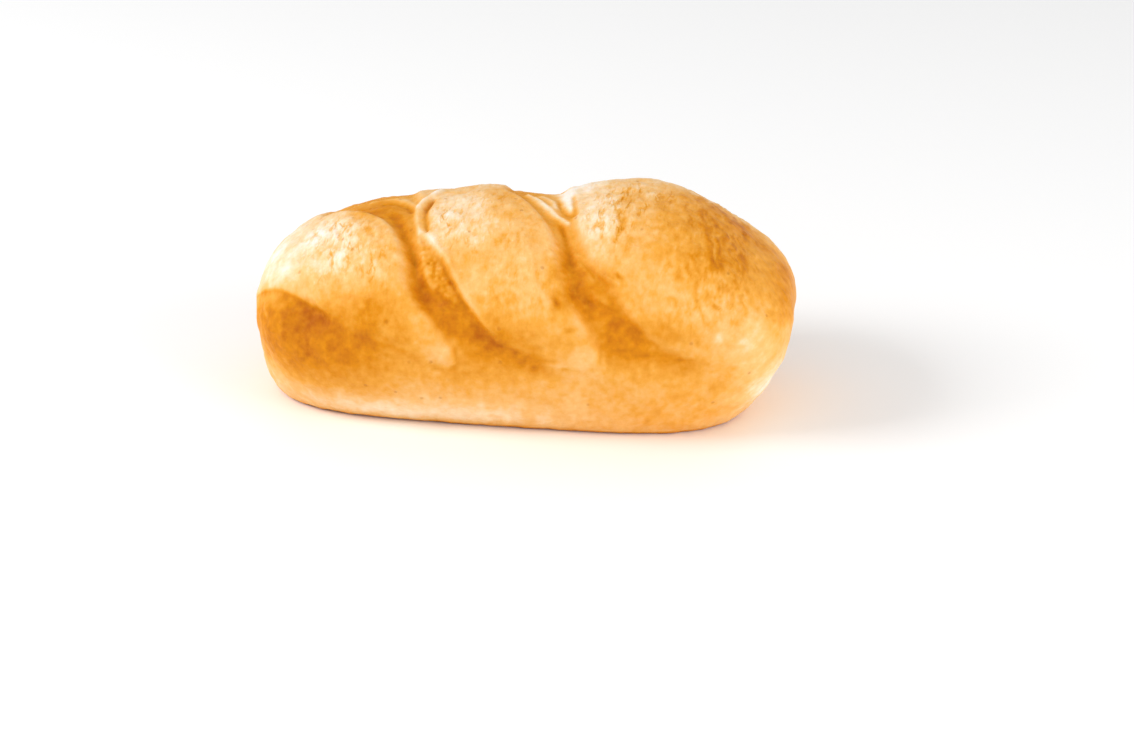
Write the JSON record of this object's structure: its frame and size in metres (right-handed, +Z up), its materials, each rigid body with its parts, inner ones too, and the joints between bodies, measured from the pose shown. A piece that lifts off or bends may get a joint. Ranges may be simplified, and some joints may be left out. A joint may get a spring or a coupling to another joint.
{
  "type": "milk bread roll",
  "caption": "Soft oblong milk bread roll, baked golden, with slanting opened slashes, puffed lobes, a pale lower side and a flat underside.",
  "frame": {"origin": "middle of the roll's length and width, on the surface that the flat underside rests on", "axes": "+X along the roll towards the end with the highest lobe, -Y its front with the low ends of the slashes, +Z up"},
  "size_m": [0.1342, 0.0686, 0.0542],
  "materials": {
    "crust": "soft satin baked crust, golden brown, cream on the lobes and pale along the lower side"
  },
  "bodies": {
    "root": {"milk_roll": "crust"}
  },
  "joints": []
}
